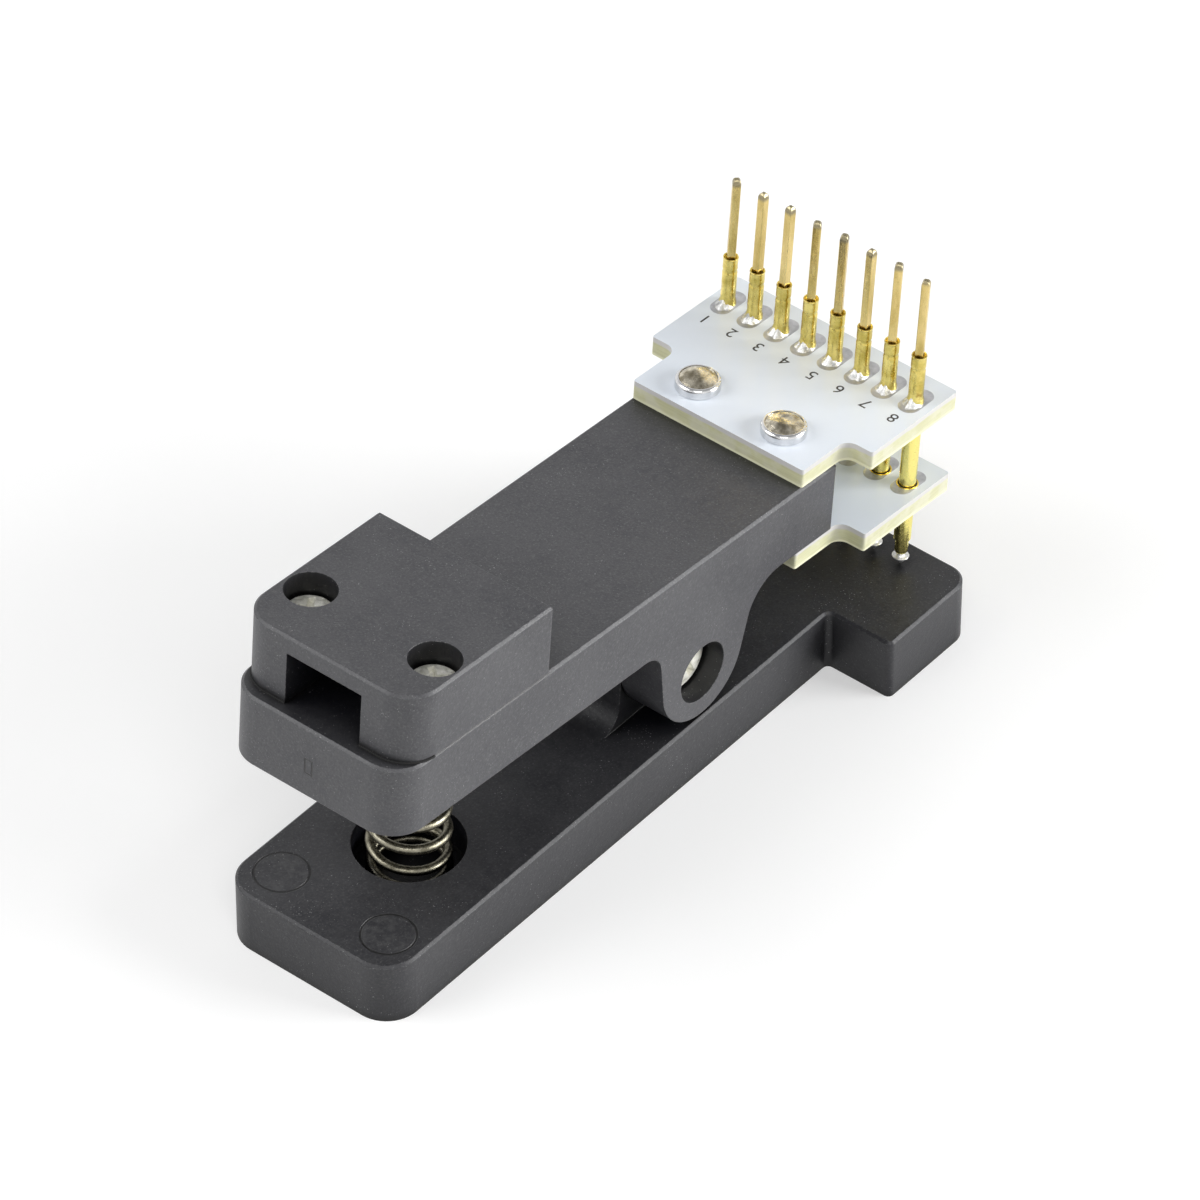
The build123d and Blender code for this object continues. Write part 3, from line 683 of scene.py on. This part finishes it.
def tube_with_post_hole(pin):
    """Stepped tube: a wide body through both boards, a taper to the neck, a crimped band under the
    rim and a rolled rim round the hole for the post."""
    wall = [(0.52, TUBE_BOTTOM + 0.12), (0.56, TUBE_BOTTOM), (TUBE_RADIUS - 0.05, TUBE_BOTTOM),
            (TUBE_RADIUS, TUBE_BOTTOM + 0.06)]
    wall += [(TUBE_RADIUS, level) for level in np.linspace(-4.9, NECK_START, 14)]
    wall += [(NECK_RADIUS, NECK_START + 0.3)]
    wall += [(NECK_RADIUS, level) for level in np.linspace(8.5, 10.5, 12)]
    wall += [(NECK_RADIUS, 10.62), (NECK_RADIUS - 0.04, 10.72), (NECK_RADIUS - 0.04, 10.86),
             (NECK_RADIUS, 10.96)]
    wall += [(NECK_RADIUS, level) for level in np.linspace(11.1, RIM - 0.12, 5)]
    wall += [(NECK_RADIUS + 0.02, RIM - 0.08), (NECK_RADIUS, RIM - 0.01), (NECK_RADIUS - 0.04, RIM),
             (NECK_RADIUS - 0.09, RIM - 0.04), (NECK_RADIUS - 0.1, RIM - 0.3), (0.3, RIM - 0.32)]
    turn = 2.4 * pin
    dents = [(turn, 9.2, 0.07, 0.16, 0.3), (turn + 3.0, 11.35, 0.05, 0.12, 0.2)]
    return dented(turned(wall, 36), dents)


def square_post(pin):
    """Square post with softened corners and a rounded tip. The outline is a superellipse,
    r = s / (|cos a|^9 + |sin a|^9)^(1/9), and over the tip it shrinks as sqrt(1 - 0.86 t^2)."""
    angle = full_turn(40) + math.pi / 40
    outline = POST_SIDE / 2 / (np.abs(np.cos(angle)) ** 9 + np.abs(np.sin(angle)) ** 9) ** (1 / 9)
    top = POST_TOP - POST_DOWN[pin]
    tip = 0.46
    rise = np.linspace(0, 1, 9)
    shaft = np.linspace(12.2, top - tip - 0.4, 10)
    levels = np.concatenate([[8.6, 9.5, 11.6], shaft, top - tip + tip * rise])
    share = np.concatenate([np.ones(13), np.sqrt(1 - 0.86 * rise ** 2)])
    return tube(round_rings(share[:, None] * outline, angle, levels[:, None]))


def pin_row(skins, above=0.0, upside_down=False, turns=8 * [0.0]):
    """One skin of eight, each stood at its pin at that height over the arm's underside. Upside down
    it is turned about so that its handle side stays where it was."""
    return joined([on_arm(skin, PIN_ALONG, pin_across(pin), above, upside_down, turn)
                   for pin, skin, turn in zip(PINS, skins, turns)])


def probe_barrel():
    """Barrel of the probe with a rolled lower lip round the plunger's neck."""
    return turned([(0.32, BARREL_BOTTOM + 0.25), (0.33, BARREL_BOTTOM + 0.03), (0.38, BARREL_BOTTOM),
                   (0.45, BARREL_BOTTOM + 0.02), (BARREL_RADIUS - 0.01, BARREL_BOTTOM + 0.1),
                   (BARREL_RADIUS, BARREL_BOTTOM + 0.3), (BARREL_RADIUS, -4.6), (BARREL_RADIUS, 6.5),
                   (0.2, 6.93)], 32)


def plunger_head():
    """Plunger: a cone that ends in a rounded point, a thin rim, a shallow dish and the neck."""
    point = arc((0, TIP + 0.12), 0.12, -84, -45, 4)
    return turned(point + [(0.62, HEAD_EDGE - 0.05), (0.655, HEAD_EDGE), (0.66, HEAD_TOP - 0.02),
                           (0.64, HEAD_TOP), (0.52, HEAD_TOP + 0.005), (0.36, HEAD_TOP + 0.01),
                           (0.31, HEAD_TOP + 0.06), (0.3, HEAD_TOP + 0.2), (0.3, -3.5), (0.34, -3.4),
                           (0.34, -0.6), (0.1, -0.45)], 40)


piece("solder_tubes", pin_row([tube_with_post_hole(pin) for pin in PINS]),
      tube_gold, "arm", ["receptacles"])
piece("square_posts", pin_row([square_post(pin) for pin in PINS],
                              turns=[math.radians(POST_TURN[pin]) for pin in PINS]),
      post_gold, "arm", ["wire_posts"])
piece("barrels", pin_row(8 * [probe_barrel()]), tube_gold, "arm", ["probe_barrels"])
for pin in PINS:
    piece(f"contact_{pin}", on_arm(plunger_head(), PIN_ALONG, pin_across(pin), 0), silver,
          f"plunger_{pin}", [f"plunger_{pin}"])


# Pads, solder and plated holes

PAD_BEFORE = 0.72
PAD_PAST = 0.92
PAD_HALF_WIDTH = 0.85
PAD_LIFT = 0.035


def pad():
    """Oval pad with a softened edge: points of a half circle at each end of a straight middle."""
    angle = full_turn(48)
    straight = np.where(np.cos(angle) > 0, PAD_PAST, -PAD_BEFORE)
    share, level = np.array([
        (1.0, -0.03), (1.0, PAD_LIFT * 0.5), (0.96, PAD_LIFT), (0.5, PAD_LIFT + 0.004)]).T[:, :, None]
    return tube(np.stack([share * (straight + PAD_HALF_WIDTH * np.cos(angle)),
                          share * PAD_HALF_WIDTH * np.sin(angle), level + 0 * angle], -1))


def fillet(pin):
    """Solder drawn up round a tube. With h = (1 - cos a) / 2, which is 1 towards the handle, its foot
    reaches out by 0.05 + 0.44 h^4 mm, and its height over the pad is (0.03 + 0.50 h^3) (1 - s)^1.1
    for the share s of the way out, with a few lumps round the tube."""
    angle = full_turn(56)
    toward_handle = (1 - np.cos(angle)) / 2
    lumps = 1 + 0.16 * np.sin(6 * angle + 1.7 * pin) * toward_handle + 0.08 * np.sin(11 * angle + 2.9 * pin)
    reach = (0.05 + 0.44 * toward_handle ** 4) * lumps
    tall = (0.03 + 0.50 * toward_handle ** 3) * lumps
    share = np.concatenate([np.linspace(1, 0, 14), [0.0, 0.0]])[:, None]
    radius = TUBE_RADIUS - 0.05 + share * (reach + 0.05)
    height = PAD_LIFT + tall * (1 - share) ** 1.1
    radius[-2:] = 0.5
    radius[-1:] = 0.3
    ground = round_rings(radius[0], angle, -0.02)[None]
    return tube(np.concatenate([ground, round_rings(radius, angle, height)]))


def hole_ring():
    """Plated rim of a hole that the tube passes through with a little room round it."""
    return turned([(0.72, -0.03), (0.86, -0.03), (0.86, 0.02), (0.84, 0.04), (0.79, 0.045),
                   (0.755, 0.03), (0.74, -0.02), (0.72, -0.028)], 40)


def hole_gap():
    """Dark ring of painted shade between a tube and the rim of its hole."""
    return turned([(0.6, -0.03), (0.77, -0.03), (0.77, 0.012), (0.6, 0.013)], 40)


TOP_FACE = TOP_BOARD + BOARD_THICKNESS
LOWER_TOP_FACE = LOWER_BOARD + BOARD_THICKNESS
HOLE_FACE = LOWER_TOP_FACE + PAD_LIFT
pads = 8 * [pad()]
fillets = [fillet(pin) for pin in PINS]
piece("board_pads", joined([
    pin_row(pads, TOP_FACE),
    pin_row(pads, TOP_BOARD, True),
    pin_row(pads, LOWER_TOP_FACE),
    pin_row(pads, LOWER_BOARD, True),
]), tin, "arm")
piece("solder_fillets", joined([
    pin_row(fillets, TOP_FACE),
    pin_row(fillets, LOWER_BOARD, True),
]), solder, "arm")
piece("plated_holes", pin_row(8 * [hole_ring()], HOLE_FACE), bright_gold, "arm")
piece("hole_gap_shadows", pin_row(8 * [hole_gap()], HOLE_FACE), gap_shade, "arm")


# Pin numbers printed on the upper board, read from the jaw

def pin_numbers():
    """Numbers 1 to 8, each behind its pad, as flat text made into one mesh."""
    meshes = []
    for pin in PINS:
        text = bpy.data.curves.new(f"number_{pin}", "FONT")
        text.body = str(pin)
        text.size = NUMBER_SIZE * MM
        text.align_x = "CENTER"
        text.extrude = 0.006 * MM
        text.resolution_u = 3
        holder = bpy.data.objects.new(f"number_{pin}", text)
        bpy.context.collection.objects.link(holder)
        bpy.context.view_layer.update()
        flat = bpy.data.meshes.new_from_object(holder.evaluated_get(bpy.context.evaluated_depsgraph_get()))
        foot = arm_place(NUMBER_ALONG, pin_across(pin), TOP_FACE) * MM
        reading = Matrix((ACROSS, -ALONG, ABOVE)).transposed().to_4x4()
        flat.transform(Matrix.Translation(Vector(foot)) @ reading)
        meshes.append(flat)
        bpy.data.objects.remove(holder)
    return meshes


def printed(name, meshes, finish, body):
    """One object of several flat meshes that are already in place."""
    skins = []
    for mesh in meshes:
        mesh.calc_loop_triangles()
        points = np.empty(len(mesh.vertices) * 3)
        mesh.vertices.foreach_get("co", points)
        corners = np.empty(len(mesh.loop_triangles) * 3, int)
        mesh.loop_triangles.foreach_get("vertices", corners)
        skins.append((points.reshape(-1, 3) / MM, [corners.reshape(-1, 3)]))
    return piece(name, joined(skins), finish, body)


printed("pin_numbers", pin_numbers(), ink, "arm")


# Floor, light and camera

def seen_rays(tree):
    """1 for what the camera, a reflection or a view through something sees, and 0 for what lights
    the clip."""
    path = add(tree, "ShaderNodeLightPath")
    seen = maths(tree, "MAXIMUM", path.outputs["Is Camera Ray"], path.outputs["Is Glossy Ray"])
    return maths(tree, "MAXIMUM", seen, path.outputs["Is Transmission Ray"])


def floor():
    """Pale floor under the base, white to the camera and in reflections, which keeps the clip's
    soft shadow: plain diffuse white with a faint even glow for those rays."""
    half = 1.2
    corner = np.array([[-half, -half, 0], [half, -half, 0], [half, half, 0], [-half, half, 0]])
    mesh = bpy.data.meshes.new("floor")
    mesh.from_pydata(corner.tolist(), [], [(0, 1, 2, 3)])
    finish = bpy.data.materials.new("floor_white")
    finish.use_nodes = True
    tree = finish.node_tree
    tree.nodes.clear()
    paper = add(tree, "ShaderNodeBsdfDiffuse", {"Color": (0.72, 0.72, 0.72, 1)})
    glow = add(tree, "ShaderNodeEmission", {"Strength": maths(tree, "MULTIPLY", seen_rays(tree), 0.36)})
    both = add(tree, "ShaderNodeAddShader", {0: paper.outputs[0], 1: glow.outputs[0]})
    add(tree, "ShaderNodeOutputMaterial", {"Surface": both.outputs[0]})
    mesh.materials.append(finish)
    made = bpy.data.objects.new("floor", mesh)
    bpy.context.collection.objects.link(made)


def sky():
    """Plain light from all round, brighter to the eye and in reflections, and greyer overhead so
    that metal has something dark to show."""
    world = bpy.data.worlds.new("studio")
    bpy.context.scene.world = world
    world.use_nodes = True
    tree = world.node_tree
    tree.nodes.clear()
    direction = add(tree, "ShaderNodeTexCoord").outputs["Generated"]
    upward = add(tree, "ShaderNodeSeparateXYZ", {0: direction}).outputs["Z"]
    shown = mixed(tree, between(tree, upward, 0.35, 0.95), grey(1.0), grey(0.4))
    colour = mixed(tree, seen_rays(tree), grey(0.33), shown)
    background = add(tree, "ShaderNodeBackground", {"Color": colour, "Strength": 1.0})
    add(tree, "ShaderNodeOutputWorld", {"Surface": background.outputs[0]})


def soft_lamp(name, place, size, watts):
    """Square soft lamp at a place in metres, facing the clip."""
    lamp = bpy.data.lights.new(name, "AREA")
    lamp.size = size
    lamp.energy = watts
    made = bpy.data.objects.new(name, lamp)
    bpy.context.collection.objects.link(made)
    made.location = place
    made.rotation_euler = (Vector(place) - Vector((0, 0, 0.01))).to_track_quat("Z", "Y").to_euler()


def photo_camera():
    """Camera at the photograph's place: it looks at the aim from an azimuth, an elevation and a
    distance, with a slight roll and a long lens."""
    aim = Vector((0.00749, 0.00346, 0.00881))
    azimuth, elevation, roll = (math.radians(a) for a in (-50.801, 42.122, 0.105))
    turn = (Matrix.Rotation(azimuth, 4, "Z") @ Matrix.Rotation(math.pi / 2 - elevation, 4, "X")
            @ Matrix.Rotation(roll, 4, "Z"))
    lens = bpy.data.cameras.new("photo_camera")
    lens.lens = 268.70
    lens.sensor_width = 36.0
    lens.clip_start = 0.01
    made = bpy.data.objects.new("photo_camera", lens)
    bpy.context.collection.objects.link(made)
    made.matrix_world = Matrix.Translation(aim + 0.66344 * (turn.to_3x3() @ Vector((0, 0, 1)))) @ turn
    bpy.context.scene.camera = made


floor()
sky()
soft_lamp("key_lamp", (-0.50, 0.45, 0.60), 0.6, 3.8)
soft_lamp("side_lamp", (0.45, -0.69, 0.20), 0.5, 8.8)
soft_lamp("front_lamp", (-0.48, -0.45, 0.72), 0.5, 2.2)
photo_camera()
bpy.context.scene.view_settings.view_transform = "Standard"
